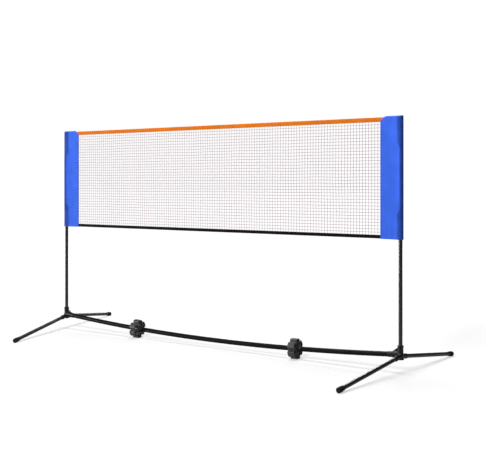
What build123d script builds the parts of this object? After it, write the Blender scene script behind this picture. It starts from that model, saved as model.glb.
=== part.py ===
from build123d import *
import os
from math import atan2, cos, radians, sin, sqrt

# Portable badminton net: two telescopic poles on four-way hubs, splayed leg tubes with
# rubber feet, a ground bar that bows down onto two turning support wheels, and a net
# whose cloth sleeves slip over the poles.
# Millimetres. X runs along the net, Y across it, Z up. The origin is on the floor,
# half way between the poles.

# ---- driving dimensions ----
pole_spacing = 2770
net_height = 1550
pole_x = pole_spacing / 2
hub_z = 101
bar_hub_z = 112

# base
leg_reach = 639
leg_toe = 10.1
leg_radius = 12.5
leg_wall = 1.2
foot_radius = 16.5
foot_tip_z = 15.3
bar_radius = 16
bar_wall = 1.5
bar_middle_z = 53.5
wheel_x = 663
wheel_width = 48
wheel_lobes = 6

# poles
lower_radius = 12
upper_radius = 10
pole_wall = 1
lower_bottom_z = 86
lower_top_z = 860
upper_bottom_z = 745
cap_thickness = 4

# net
sleeve_bottom_z = 802
sleeve_radius = 17.8
sleeve_reach = 130
cloth = 1.8
crown_thickness = 2.5
cloth_gap = 0.3
top_tape_z = 1530
top_tape_width = 28
bottom_tape_z = 815
bottom_tape_width = 22

# fits
push_gap = 0.05
running_gap = 0.08

sides = (("left", -1), ("right", 1))
ends = (("front", -1), ("back", 1))

os.makedirs("parts", exist_ok=True)


def write(piece, node):
    piece.part.label = node
    export_step(piece.part, f"parts/{node}.step")


# ---- the bar's bow: one circular arc through both hubs and the low middle ----
bar_rise = bar_hub_z - bar_middle_z
bow_radius = (pole_x**2 + bar_rise**2) / (2 * bar_rise)


def bar_height(x):
    return bar_middle_z + bow_radius - sqrt(bow_radius**2 - x**2)


def bar_slope(x):
    return atan2(x, sqrt(bow_radius**2 - x**2))


def bar_plane(x):
    """Square to the bar at x, with its normal along the bar towards +X."""
    slope = bar_slope(x)
    return Plane(origin=(x, 0, bar_height(x)), x_dir=(0, 1, 0), z_dir=(cos(slope), 0, sin(slope)))


def leg_plane(side, end, distance):
    """Square to a leg, `distance` out from the hub centre, with its normal down the leg."""
    fall = atan2(hub_z - foot_tip_z, leg_reach)
    toe = radians(leg_toe)
    outward = Vector(side * end * sin(toe) * cos(fall), end * cos(toe) * cos(fall), -sin(fall))
    centre = Vector(side * pole_x, 0, hub_z) + outward * distance
    across = Vector(-outward.Y, outward.X, 0).normalized()
    return Plane(origin=centre, x_dir=across, z_dir=outward)


leg_length = sqrt(leg_reach**2 + (hub_z - foot_tip_z) ** 2)

# ---- hubs: moulded four-way sockets for pole, bar and two legs ----
hub_core_radius = 21
pole_socket_radius = 17.5
pole_socket_top = 166
pole_rim_radius = 18.7
pole_rim_height = 12
rim_round = 0.9
bar_socket_length = 50
bar_neck_length = 78
bar_socket_radius = 20.5
bar_neck_radius = 18.1
leg_socket_length = 62
leg_socket_radius = 15.4
leg_rim_radius = 16.4
leg_rim_length = 14
bar_start = 28
leg_start = 26
gusset_thickness = 9
gusset_step = 3
rim_clearance = 4
hub_floor = 6


def hub(side):
    with BuildPart() as body:
        # pole socket, with a thicker rim at its mouth
        with BuildSketch(Plane.XY.offset(lower_bottom_z - hub_floor)):
            with Locations((side * pole_x, 0)):
                Circle(pole_socket_radius)
        extrude(amount=pole_socket_top - lower_bottom_z + hub_floor)
        with BuildSketch(Plane.XY.offset(pole_socket_top - pole_rim_height)):
            with Locations((side * pole_x, 0)):
                Circle(pole_rim_radius)
        extrude(amount=pole_rim_height)
        # the core where all four sockets meet
        with BuildSketch(Plane.XY.offset(lower_bottom_z - hub_floor)):
            with Locations((side * pole_x, 0)):
                Circle(hub_core_radius)
        extrude(amount=2 * (hub_z - lower_bottom_z) + hub_floor)
        # bar socket: a thick collar, then a thinner neck
        inward = bar_plane(side * pole_x)
        with BuildSketch(inward):
            Circle(bar_socket_radius)
        extrude(amount=-side * bar_socket_length)
        with BuildSketch(inward):
            Circle(bar_neck_radius)
        extrude(amount=-side * bar_neck_length)
        # leg sockets, each with a rim at its mouth
        for _, end in ends:
            with BuildSketch(leg_plane(side, end, 0)):
                Circle(leg_socket_radius)
            extrude(amount=leg_socket_length)
            with BuildSketch(leg_plane(side, end, leg_socket_length - leg_rim_length)):
                Circle(leg_rim_radius)
            extrude(amount=leg_rim_length)
        # gusset between pole socket and bar socket
        gusset_top = pole_socket_top - pole_rim_height - rim_clearance
        gusset_end = pole_x - bar_socket_length + rim_clearance
        with BuildSketch(Plane.XZ.offset(-gusset_thickness / 2)):
            with BuildLine():
                Polyline(
                    (side * pole_x, hub_z),
                    (side * pole_x, gusset_top),
                    (side * (pole_x - pole_socket_radius - gusset_step), gusset_top),
                    (side * gusset_end, bar_hub_z + bar_socket_radius - gusset_step),
                    (side * gusset_end, hub_z),
                    close=True,
                )
            make_face()
        extrude(amount=gusset_thickness)
        # rounded mouths and collars
        rims = (pole_rim_radius, bar_socket_radius, bar_neck_radius, leg_rim_radius)
        round_edges = body.edges().filter_by(GeomType.CIRCLE)
        fillet(round_edges.filter_by(lambda edge: round(edge.radius, 3) in rims), rim_round)
        # bores for pole, bar and legs
        with BuildSketch(Plane.XY.offset(lower_bottom_z)):
            with Locations((side * pole_x, 0)):
                Circle(lower_radius + push_gap)
        extrude(amount=pole_socket_top, mode=Mode.SUBTRACT)
        with BuildSketch(bar_plane(side * (pole_x - bar_start))):
            Circle(bar_radius + 2 * push_gap)
        extrude(amount=-side * bar_neck_length, mode=Mode.SUBTRACT)
        for _, end in ends:
            with BuildSketch(leg_plane(side, end, leg_start)):
                Circle(leg_radius + push_gap)
            extrude(amount=leg_socket_length, mode=Mode.SUBTRACT)
    return body


# ---- legs and feet ----
cap_depth = 50
cap_end = 6
cap_neck_length = 16
cap_neck_radius = 14.5
cap_round = 1.5
leg_tube_end = leg_length - cap_end


def leg_tube(side, end):
    with BuildPart() as tube:
        with BuildSketch(leg_plane(side, end, leg_start)):
            Circle(leg_radius)
            Circle(leg_radius - leg_wall, mode=Mode.SUBTRACT)
        extrude(amount=leg_tube_end - leg_start)
    return tube


def foot_cap(side, end):
    """Rubber cap: a thin neck and a thick head, with a small flat where it stands."""
    with BuildPart() as cap:
        with BuildSketch(leg_plane(side, end, leg_length - cap_depth)):
            Circle(cap_neck_radius)
        extrude(amount=cap_depth)
        with BuildSketch(leg_plane(side, end, leg_length - cap_depth + cap_neck_length)):
            Circle(foot_radius)
        extrude(amount=cap_depth - cap_neck_length)
        rims = cap.edges().filter_by(GeomType.CIRCLE).group_by(SortBy.RADIUS)[-1]
        fillet(rims, cap_round)
        with BuildSketch(leg_plane(side, end, 0)):
            Circle(leg_radius + push_gap)
        extrude(amount=leg_tube_end, mode=Mode.SUBTRACT)
        # the rubber is flat where it stands on the floor
        split(bisect_by=Plane.XY, keep=Keep.TOP)
    return cap


# ---- ground bar: four bowed tubes, joined by an inner ferrule and two wheel couplers ----
coupler_stop = 3


def bowed_tube(x_from, x_to, outer, inner):
    x_mid = (x_from + x_to) / 2
    points = [Vector(x, 0, bar_height(x)) for x in (x_from, x_mid, x_to)]
    with BuildPart() as tube:
        with BuildLine() as bow:
            ThreePointArc(*points)
        with BuildSketch(bar_plane(x_from)):
            Circle(outer)
            Circle(inner, mode=Mode.SUBTRACT)
        sweep(path=bow.line)
    return tube


bar_end_gap = 0.5
bar_hub_end = pole_x - bar_start * cos(bar_slope(pole_x)) - bar_end_gap
ferrule_half = 70
ferrule_wall = 2.4

# ---- support wheels: moulded, six lobes, running on a coupler that joins the bar tubes ----
coupler_radius = 18.1
coupler_length = 92
flange_radius = 22.5
flange_thickness = 4
wheel_end_gap = 0.4
wheel_hub_radius = 25
wheel_wall = 4
spoke_width = 5
lobe_width = 45
lobe_root = 36
lobe_overlap = 4
notch_radius = 49
lobe_corner = 9
notch_corner = 4
wheel_tilt = bar_slope(wheel_x)
wheel_radius = (bar_height(wheel_x) - wheel_width / 2 * sin(wheel_tilt)) / cos(wheel_tilt)


def wheel_coupler(side):
    """Plastic sleeve over the two tube ends, with one moulded flange."""
    start = coupler_length / 2
    flange_start = side * (wheel_width / 2 + wheel_end_gap)
    with BuildPart() as coupler:
        with BuildSketch(bar_plane(side * wheel_x).offset(-start)):
            Circle(coupler_radius)
        extrude(amount=coupler_length)
        with BuildSketch(bar_plane(side * wheel_x).offset(flange_start)):
            Circle(flange_radius)
        extrude(amount=side * flange_thickness)
        with BuildSketch(bar_plane(side * wheel_x).offset(-start)):
            Circle(bar_radius + 2 * push_gap)
        extrude(amount=start - coupler_stop / 2, mode=Mode.SUBTRACT)
        with BuildSketch(bar_plane(side * wheel_x).offset(coupler_stop / 2)):
            Circle(bar_radius + 2 * push_gap)
        extrude(amount=start, mode=Mode.SUBTRACT)
        with BuildSketch(bar_plane(side * wheel_x).offset(-coupler_stop)):
            Circle(bar_radius - bar_wall)
        extrude(amount=2 * coupler_stop, mode=Mode.SUBTRACT)
    return coupler


def stop_ring(side):
    """Snap ring that keeps the wheel on its coupler."""
    ring_start = -side * (wheel_width / 2 + wheel_end_gap)
    with BuildPart() as ring:
        with BuildSketch(bar_plane(side * wheel_x).offset(ring_start)):
            Circle(flange_radius)
            Circle(coupler_radius, mode=Mode.SUBTRACT)
        extrude(amount=-side * flange_thickness)
    return ring


def wheel(side):
    face = bar_plane(side * wheel_x).offset(-wheel_width / 2)
    with BuildSketch(face) as outline:
        Circle(notch_radius)
        with PolarLocations(0, wheel_lobes, start_angle=90):
            with Locations(((lobe_root + wheel_radius) / 2, 0)):
                Rectangle(wheel_radius - lobe_root + lobe_overlap, lobe_width)
        Circle(wheel_radius, mode=Mode.INTERSECT)
        corners = outline.vertices().group_by(lambda corner: round(corner.center().length, 1))
        fillet(corners[-1], lobe_corner)
        fillet(corners[0], notch_corner)
    with BuildPart() as cog:
        with BuildSketch(face):
            add(outline.sketch_local)
            offset(outline.sketch_local, -wheel_wall, mode=Mode.SUBTRACT)
            Circle(wheel_hub_radius)
            with PolarLocations(0, wheel_lobes, start_angle=90):
                with Locations(((wheel_radius - wheel_wall / 2) / 2, 0)):
                    Rectangle(wheel_radius - wheel_wall / 2, spoke_width)
            Circle(coupler_radius + running_gap, mode=Mode.SUBTRACT)
        extrude(amount=wheel_width)
    return cog


# ---- poles: a lower tube in the hub, an upper tube that slides in it, a twist lock ----
collet_length = 35
collet_flange = 3
collet_slits = 3
collet_inset = 0.1
slit_width = 1.2
lock_drop = 30
lock_radius = 15.4
lock_ribs = 12
lock_rib_radius = 1
lock_rib_height = 0.8
lock_lip = 4
lock_gap = 0.3
lip_gap = 0.4
bush_length = 30
cap_spigot = 14
pole_cap_round = 2


def pole_ring(side, z, height, outer, inner):
    """A tube on the pole's axis."""
    with BuildPart() as ring:
        with BuildSketch(Plane.XY.offset(z)):
            with Locations((side * pole_x, 0)):
                Circle(outer)
                Circle(inner, mode=Mode.SUBTRACT)
        extrude(amount=height)
    return ring


def pole_collet(side):
    """Nylon collet in the lower tube's mouth: slit so that the lock ring can close it."""
    bore = upper_radius + running_gap
    with BuildPart() as collet:
        with BuildSketch(Plane.XY.offset(lower_top_z - collet_length)):
            with Locations((side * pole_x, 0)):
                Circle(lower_radius - pole_wall)
        extrude(amount=collet_length)
        with BuildSketch(Plane.XY.offset(lower_top_z)):
            with Locations((side * pole_x, 0)):
                Circle(lower_radius - collet_inset)
        extrude(amount=collet_flange)
        with BuildSketch(Plane.XY.offset(lower_top_z - collet_length)):
            with Locations((side * pole_x, 0)):
                Circle(bore)
        extrude(amount=collet_length + collet_flange, mode=Mode.SUBTRACT)
        with BuildSketch(Plane.XY.offset(lower_top_z - collet_length)):
            with Locations((side * pole_x, 0)):
                with PolarLocations(lower_radius / 2, collet_slits):
                    Rectangle(lower_radius, slit_width)
        extrude(amount=collet_length - 2 * collet_flange, mode=Mode.SUBTRACT)
    return collet


def lock_ring(side):
    """Grip ring round the lower tube's mouth, turned a quarter turn to clamp the collet."""
    bottom = lower_top_z - lock_drop
    lip = lower_top_z + collet_flange + lock_gap
    with BuildPart() as ring:
        with BuildSketch(Plane.XY.offset(bottom)):
            with Locations((side * pole_x, 0)):
                Circle(lock_radius - lock_rib_height)
                with PolarLocations(lock_radius - lock_rib_radius, lock_ribs):
                    Circle(lock_rib_radius)
                Circle(lower_radius + running_gap, mode=Mode.SUBTRACT)
        extrude(amount=lip - bottom)
        with BuildSketch(Plane.XY.offset(lip)):
            with Locations((side * pole_x, 0)):
                Circle(lock_radius - lock_rib_height)
                Circle(upper_radius + lip_gap, mode=Mode.SUBTRACT)
        extrude(amount=lock_lip)
    return ring


pole_top_z = net_height - crown_thickness - cloth_gap - cap_thickness


def pole_cap(side):
    with BuildPart() as cap:
        with BuildSketch(Plane.XY.offset(pole_top_z - cap_spigot)):
            with Locations((side * pole_x, 0)):
                Circle(upper_radius - pole_wall)
        extrude(amount=cap_spigot)
        with BuildSketch(Plane.XY.offset(pole_top_z)):
            with Locations((side * pole_x, 0)):
                Circle(upper_radius)
        extrude(amount=cap_thickness)
        fillet(cap.edges().group_by(Axis.Z)[-1], pole_cap_round)
    return cap


# ---- net: cloth sleeves, crowns, netting and two edge tapes ----
sleeve_inner_x = pole_x - sleeve_reach
seam_allowance = 16
seam_thickness = 3
shoulder_reach = 34
shoulder_drop = 24
pocket_clearance = 8
pocket_end_x = sleeve_inner_x + seam_allowance + pocket_clearance
pocket_end_radius = 1
top_tape_thickness = 3.2
bottom_tape_thickness = 2.4
netting_thickness = 1.2
cut_margin = 1


def sleeve_section(side, inset):
    """Cloth drawn tight from the pole to the seam: a teardrop, smaller by `inset`."""
    with BuildSketch() as section:
        with Locations((side * pole_x, 0)):
            Circle(sleeve_radius - inset)
        with Locations((side * pocket_end_x, 0)):
            Circle(pocket_end_radius + cloth - inset)
        make_hull()
    return section.sketch


def net_sleeve(side):
    """One loop of cloth round the pole, closed by a flat seam along the netting."""
    pocket_top = net_height - crown_thickness
    seam_x = sleeve_inner_x + (pocket_end_x - sleeve_inner_x) / 2
    with BuildPart() as sleeve:
        with BuildSketch(Plane.XY.offset(sleeve_bottom_z)):
            add(sleeve_section(side, 0))
            with Locations((side * seam_x, 0)):
                Rectangle(pocket_end_x - sleeve_inner_x, seam_thickness)
            add(sleeve_section(side, cloth), mode=Mode.SUBTRACT)
        extrude(amount=pocket_top - sleeve_bottom_z)
        # the shoulder: the top edge falls to the top tape over the last stretch
        with BuildSketch(Plane.XZ.offset(-sleeve_radius)):
            with BuildLine():
                Polyline(
                    (side * (sleeve_inner_x + shoulder_reach), pocket_top),
                    (side * (sleeve_inner_x - cut_margin), net_height - shoulder_drop),
                    (side * (sleeve_inner_x - cut_margin), net_height),
                    (side * (sleeve_inner_x + shoulder_reach), net_height),
                    close=True,
                )
            make_face()
        extrude(amount=2 * sleeve_radius, mode=Mode.SUBTRACT)
    return sleeve


def sleeve_crown(side):
    """Cloth end that closes the sleeve's level top and hangs the net on the pole cap."""
    pocket_top = net_height - crown_thickness
    with BuildPart() as crown:
        with BuildSketch(Plane.XY.offset(pocket_top)):
            add(sleeve_section(side, 0))
            with Locations((side * sleeve_inner_x, 0)):
                Rectangle(2 * shoulder_reach, 2 * sleeve_radius, mode=Mode.SUBTRACT)
        extrude(amount=crown_thickness)
    return crown


def edge_tape(z, width, thickness):
    with BuildPart() as tape:
        with BuildSketch(Plane.XY.offset(z - width / 2)):
            Rectangle(2 * sleeve_inner_x, thickness)
        extrude(amount=width)
    return tape


# ---- write every piece ----
bar_bore = bar_radius - bar_wall
for name, side in sides:
    write(hub(side), f"{name}_hub")
    for end_name, end in ends:
        write(leg_tube(side, end), f"{name}_{end_name}_leg")
        write(foot_cap(side, end), f"{name}_{end_name}_foot")
    outer_start = side * (wheel_x + coupler_stop / 2)
    inner_end = side * (wheel_x - coupler_stop / 2)
    write(bowed_tube(side * bar_hub_end, outer_start, bar_radius, bar_bore), f"{name}_outer_bar")
    write(bowed_tube(inner_end, 0, bar_radius, bar_bore), f"{name}_inner_bar")
    write(wheel_coupler(side), f"{name}_wheel_coupler")
    write(stop_ring(side), f"{name}_wheel_stop_ring")
    write(wheel(side), f"{name}_wheel")
    lower_length = lower_top_z - lower_bottom_z
    lower_bore = lower_radius - pole_wall
    upper_length = pole_top_z - upper_bottom_z
    upper_bore = upper_radius - pole_wall
    bush_radius = lower_bore - running_gap
    write(pole_ring(side, lower_bottom_z, lower_length, lower_radius, lower_bore), f"{name}_lower_pole")
    write(pole_ring(side, upper_bottom_z, upper_length, upper_radius, upper_bore), f"{name}_upper_pole")
    write(pole_ring(side, upper_bottom_z, bush_length, bush_radius, upper_radius), f"{name}_pole_bush")
    write(pole_collet(side), f"{name}_pole_collet")
    write(lock_ring(side), f"{name}_lock_ring")
    write(pole_cap(side), f"{name}_pole_cap")
    write(net_sleeve(side), f"{name}_net_sleeve")
    write(sleeve_crown(side), f"{name}_sleeve_crown")

ferrule_radius = bar_bore - push_gap
netting_low = bottom_tape_z + bottom_tape_width / 2
netting_high = top_tape_z - top_tape_width / 2
netting_middle = (netting_low + netting_high) / 2
write(bowed_tube(-ferrule_half, ferrule_half, ferrule_radius, ferrule_radius - ferrule_wall), "bar_ferrule")
write(edge_tape(top_tape_z, top_tape_width, top_tape_thickness), "top_tape")
write(edge_tape(bottom_tape_z, bottom_tape_width, bottom_tape_thickness), "bottom_tape")
write(edge_tape(netting_middle, netting_high - netting_low, netting_thickness), "netting")
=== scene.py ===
import math

import bmesh
import bpy
from mathutils import Matrix, Vector, noise


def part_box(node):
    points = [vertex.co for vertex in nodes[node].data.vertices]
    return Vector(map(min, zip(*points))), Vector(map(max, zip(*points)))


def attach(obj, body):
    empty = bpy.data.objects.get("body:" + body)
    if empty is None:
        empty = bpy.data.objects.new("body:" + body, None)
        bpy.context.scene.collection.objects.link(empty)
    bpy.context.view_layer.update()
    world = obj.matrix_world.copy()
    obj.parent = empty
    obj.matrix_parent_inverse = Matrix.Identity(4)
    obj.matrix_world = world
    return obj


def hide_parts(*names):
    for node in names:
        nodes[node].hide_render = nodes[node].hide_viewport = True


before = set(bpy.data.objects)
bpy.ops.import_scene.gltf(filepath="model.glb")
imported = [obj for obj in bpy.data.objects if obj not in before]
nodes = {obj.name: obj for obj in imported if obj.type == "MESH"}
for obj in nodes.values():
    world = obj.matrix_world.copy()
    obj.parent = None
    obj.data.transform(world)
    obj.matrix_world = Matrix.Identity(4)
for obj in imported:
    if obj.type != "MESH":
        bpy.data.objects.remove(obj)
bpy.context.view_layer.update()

# ----------------------------------------
# Camera: a long studio lens at chest height, level, to the right of the net and in front
# of it, so that the net recedes to the left. The shift keeps the upright poles upright.
camera_data = bpy.data.cameras.new("studio_camera")
camera_data.lens = 59.15
camera_data.sensor_width = 36
camera_data.shift_y = -0.108
camera = bpy.data.objects.new("studio_camera", camera_data)
camera.location = (3.164, -4.563, 1.143)
camera.rotation_euler = (math.radians(90), 0, math.radians(32.46))
bpy.context.scene.collection.objects.link(camera)
bpy.context.scene.camera = camera
bpy.context.scene.view_settings.view_transform = "Standard"

# ----------------------------------------
# Studio: a white sweep, lit from under the paper as a light table is, so that only soft
# faint shadows lie round the feet. A large softbox stands high in front, a weaker one
# behind, one hangs overhead, and a far strip on the left lights one side of the poles.
world = bpy.data.worlds.new("white_studio")
bpy.context.scene.world = world
world.use_nodes = True
tree = world.node_tree
tree.nodes.clear()
output = tree.nodes.new("ShaderNodeOutputWorld")
output.label = "world out"
output.location = (400, 0)
seen = tree.nodes.new("ShaderNodeBackground")
seen.label = "white paper behind the set"
seen.location = (0, 120)
seen.inputs["Color"].default_value = (1, 1, 1, 1)
seen.inputs["Strength"].default_value = 1.0
fill = tree.nodes.new("ShaderNodeBackground")
fill.label = "soft fill from the room"
fill.location = (0, -60)
fill.inputs["Color"].default_value = (0.97, 0.98, 1, 1)
fill.inputs["Strength"].default_value = 0.09
ray = tree.nodes.new("ShaderNodeLightPath")
ray.label = "paper is only a backdrop"
ray.location = (-220, 260)
choose = tree.nodes.new("ShaderNodeMixShader")
choose.label = "backdrop or fill"
choose.location = (220, 0)
tree.links.new(ray.outputs["Is Camera Ray"], choose.inputs[0])
tree.links.new(fill.outputs[0], choose.inputs[1])
tree.links.new(seen.outputs[0], choose.inputs[2])
tree.links.new(choose.outputs[0], output.inputs["Surface"])


def empty_material(name):
    """A new material and its node tree, with no nodes yet."""
    material = bpy.data.materials.new(name)
    material.use_nodes = True
    material.node_tree.nodes.clear()
    return material, material.node_tree


bpy.ops.object.select_all(action="DESELECT")
bpy.ops.mesh.primitive_plane_add(size=160, location=(0, 0, 0))
floor = bpy.context.object
floor.name = "studio_floor"
paper, tree = empty_material("white_paper")
output = tree.nodes.new("ShaderNodeOutputMaterial")
output.label = "paper out"
output.location = (700, 0)
matt = tree.nodes.new("ShaderNodeBsdfDiffuse")
matt.label = "matt paper"
matt.location = (200, 120)
matt.inputs["Color"].default_value = (0.3, 0.3, 0.3, 1)
place = tree.nodes.new("ShaderNodeTexCoord")
place.label = "place on the floor"
place.location = (-700, -100)
away = tree.nodes.new("ShaderNodeVectorMath")
away.label = "distance from the set"
away.location = (-500, -100)
away.operation = "LENGTH"
spread = tree.nodes.new("ShaderNodeMapRange")
spread.label = "brighter away from the set"
spread.location = (-300, -100)
spread.inputs["From Min"].default_value = 1.0
spread.inputs["From Max"].default_value = 7.0
spread.inputs["To Min"].default_value = 0.48
spread.inputs["To Max"].default_value = 1.0
ray = tree.nodes.new("ShaderNodeLightPath")
ray.label = "table glows towards the lens"
ray.location = (-300, 260)
level = tree.nodes.new("ShaderNodeMix")
level.label = "light from under the paper"
level.location = (-60, 0)
level.inputs["A"].default_value = 0.1
glow = tree.nodes.new("ShaderNodeEmission")
glow.label = "glowing paper"
glow.location = (200, -60)
glow.inputs["Color"].default_value = (1, 1, 1, 1)
both = tree.nodes.new("ShaderNodeAddShader")
both.label = "lit from above and below"
both.location = (450, 0)
tree.links.new(place.outputs["Object"], away.inputs[0])
tree.links.new(away.outputs["Value"], spread.inputs["Value"])
tree.links.new(ray.outputs["Is Camera Ray"], level.inputs["Factor"])
tree.links.new(spread.outputs["Result"], level.inputs["B"])
tree.links.new(level.outputs["Result"], glow.inputs["Strength"])
tree.links.new(matt.outputs[0], both.inputs[0])
tree.links.new(glow.outputs[0], both.inputs[1])
tree.links.new(both.outputs[0], output.inputs["Surface"])
floor.data.materials.append(paper)


def softbox(name, place, aim, width, height, power):
    """A flat softbox aimed at a point."""
    light = bpy.data.lights.new(name, "AREA")
    light.shape = "RECTANGLE"
    light.size = width
    light.size_y = height
    light.energy = power
    box = bpy.data.objects.new(name, light)
    box.location = place
    box.rotation_euler = (Vector(aim) - Vector(place)).to_track_quat("-Z", "Y").to_euler()
    bpy.context.scene.collection.objects.link(box)


softbox("overhead_softbox", (0, 0.3, 4.2), (0, 0, 0), 2.2, 1.6, 190)
softbox("front_softbox", (0.6, -7.1, 6.3), (0, 0, 0.9), 2.2, 2.2, 790)
softbox("left_strip", (-9, -5, 1.2), (0, 0, 0.7), 1.2, 3.0, 950)
softbox("back_softbox", (-2.0, 7.5, 5.2), (0, 0, 0.9), 2.2, 2.2, 300)

# ----------------------------------------
# Steel tubes of the base: the bowed ground bar in four lengths, and four splayed legs.
# Drawn steel, cut to length and powder coated satin black. They plug into the hubs.
sides = (("left", -1), ("right", 1))
ends = ("front", "back")


def powder_coat(name, colour, roughness, gloss, rubbed):
    """Baked powder paint: orange-peel skin, faint clouds, dull rub marks along the tube."""
    material, tree = empty_material(name)
    output = tree.nodes.new("ShaderNodeOutputMaterial")
    output.label = "painted tube"
    output.location = (1100, 0)
    shader = tree.nodes.new("ShaderNodeBsdfPrincipled")
    shader.label = "powder paint"
    shader.location = (800, 0)
    shader.inputs["Specular IOR Level"].default_value = gloss
    place = tree.nodes.new("ShaderNodeTexCoord")
    place.label = "place on the tube"
    place.location = (-700, 0)

    tint = tree.nodes.new("NodeFrame")
    tint.label = "colour of the paint"
    cloud = tree.nodes.new("ShaderNodeTexNoise")
    cloud.label = "uneven paint film"
    cloud.location = (-450, 260)
    cloud.parent = tint
    cloud.inputs["Scale"].default_value = 14
    cloud.inputs["Detail"].default_value = 3
    shade = tree.nodes.new("ShaderNodeValToRGB")
    shade.label = "thin and thick paint"
    shade.location = (-200, 260)
    shade.parent = tint
    shade.color_ramp.elements[0].position = 0.3
    shade.color_ramp.elements[0].color = (*(0.82 * c for c in colour), 1)
    shade.color_ramp.elements[1].position = 0.72
    shade.color_ramp.elements[1].color = (*(1.2 * c for c in colour), 1)

    rub = tree.nodes.new("NodeFrame")
    rub.label = "rub marks from packing the tubes"
    streak_place = tree.nodes.new("ShaderNodeMapping")
    streak_place.label = "marks drawn out lengthwise"
    streak_place.location = (-450, -60)
    streak_place.parent = rub
    streak_place.inputs["Scale"].default_value = rubbed
    streak = tree.nodes.new("ShaderNodeTexNoise")
    streak.label = "rub marks"
    streak.location = (-250, -60)
    streak.parent = rub
    streak.inputs["Scale"].default_value = 3
    streak.inputs["Detail"].default_value = 5
    dull = tree.nodes.new("ShaderNodeMapRange")
    dull.label = "satin to dull"
    dull.location = (-20, -60)
    dull.parent = rub
    dull.inputs["From Min"].default_value = 0.35
    dull.inputs["From Max"].default_value = 0.7
    dull.inputs["To Min"].default_value = roughness - 0.06
    dull.inputs["To Max"].default_value = roughness + 0.12

    skin = tree.nodes.new("NodeFrame")
    skin.label = "orange-peel skin"
    peel = tree.nodes.new("ShaderNodeTexNoise")
    peel.label = "orange peel"
    peel.location = (-250, -380)
    peel.parent = skin
    peel.inputs["Scale"].default_value = 900
    peel.inputs["Detail"].default_value = 2
    relief = tree.nodes.new("ShaderNodeBump")
    relief.label = "skin relief"
    relief.location = (0, -380)
    relief.parent = skin
    relief.inputs["Strength"].default_value = 0.18
    relief.inputs["Distance"].default_value = 0.0003

    tree.links.new(place.outputs["Object"], cloud.inputs["Vector"])
    tree.links.new(place.outputs["Object"], streak_place.inputs["Vector"])
    tree.links.new(place.outputs["Object"], peel.inputs["Vector"])
    tree.links.new(cloud.outputs["Fac"], shade.inputs["Fac"])
    tree.links.new(shade.outputs["Color"], shader.inputs["Base Color"])
    tree.links.new(streak_place.outputs["Vector"], streak.inputs["Vector"])
    tree.links.new(streak.outputs["Fac"], dull.inputs["Value"])
    tree.links.new(dull.outputs["Result"], shader.inputs["Roughness"])
    tree.links.new(peel.outputs["Fac"], relief.inputs["Height"])
    tree.links.new(relief.outputs["Normal"], shader.inputs["Normal"])
    tree.links.new(shader.outputs["BSDF"], output.inputs["Surface"])
    return material


def refinish(node, material):
    """Gives a machined part its finish."""
    part = nodes[node]
    part.data.materials.clear()
    part.data.materials.append(material)


# One satin black powder coat in two copies. The bar's colour is painted darker as painted shade, and the
# legs' colour is painted lighter as painted highlight. Their gloss differs as well.
bar_black_painted_shade = powder_coat(
    "bar_black_painted_shade", (0.0045, 0.0040, 0.0043), roughness=0.34, gloss=0.09, rubbed=(6, 60, 60)
)
leg_black_painted_highlight = powder_coat(
    "leg_black_painted_highlight", (0.0080, 0.0075, 0.0078), roughness=0.30, gloss=0.40, rubbed=(60, 6, 60)
)
for side_name, side in sides:
    refinish(f"{side_name}_outer_bar", bar_black_painted_shade)
    refinish(f"{side_name}_inner_bar", bar_black_painted_shade)
    for end_name in ends:
        refinish(f"{side_name}_{end_name}_leg", leg_black_painted_highlight)

# ----------------------------------------
# Middle ferrule: a short rolled steel tube, zinc plated and hidden in the bar's middle
# joint. Both inner lengths of the bar push onto it.


def zinc_plate(name, colour):
    """Rolled and plated steel with fine lengthwise draw lines."""
    material, tree = empty_material(name)
    output = tree.nodes.new("ShaderNodeOutputMaterial")
    output.label = "plated steel"
    output.location = (700, 0)
    shader = tree.nodes.new("ShaderNodeBsdfPrincipled")
    shader.label = "zinc"
    shader.location = (400, 0)
    shader.inputs["Base Color"].default_value = (*colour, 1)
    shader.inputs["Metallic"].default_value = 1
    place = tree.nodes.new("ShaderNodeTexCoord")
    place.label = "place on the ferrule"
    place.location = (-700, 0)
    lengthwise = tree.nodes.new("ShaderNodeMapping")
    lengthwise.label = "lines along the tube"
    lengthwise.location = (-500, 0)
    lengthwise.inputs["Scale"].default_value = (8, 900, 900)
    lines = tree.nodes.new("ShaderNodeTexNoise")
    lines.label = "draw lines"
    lines.location = (-250, 0)
    lines.inputs["Scale"].default_value = 1
    gloss = tree.nodes.new("ShaderNodeMapRange")
    gloss.label = "bright and dull lines"
    gloss.location = (0, 80)
    gloss.inputs["To Min"].default_value = 0.25
    gloss.inputs["To Max"].default_value = 0.5
    relief = tree.nodes.new("ShaderNodeBump")
    relief.label = "line relief"
    relief.location = (0, -200)
    relief.inputs["Strength"].default_value = 0.1
    relief.inputs["Distance"].default_value = 0.0002
    tree.links.new(place.outputs["Object"], lengthwise.inputs["Vector"])
    tree.links.new(lengthwise.outputs["Vector"], lines.inputs["Vector"])
    tree.links.new(lines.outputs["Fac"], gloss.inputs["Value"])
    tree.links.new(gloss.outputs["Result"], shader.inputs["Roughness"])
    tree.links.new(lines.outputs["Fac"], relief.inputs["Height"])
    tree.links.new(relief.outputs["Normal"], shader.inputs["Normal"])
    tree.links.new(shader.outputs["BSDF"], output.inputs["Surface"])
    return material


refinish("bar_ferrule", zinc_plate("ferrule_zinc", (0.56, 0.57, 0.58)))

# ----------------------------------------
# Hubs: one black moulding each, with sockets for the pole, the bar and two legs, and a
# gusset between pole and bar. The moulding's edges and inside corners are rounded.


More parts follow.
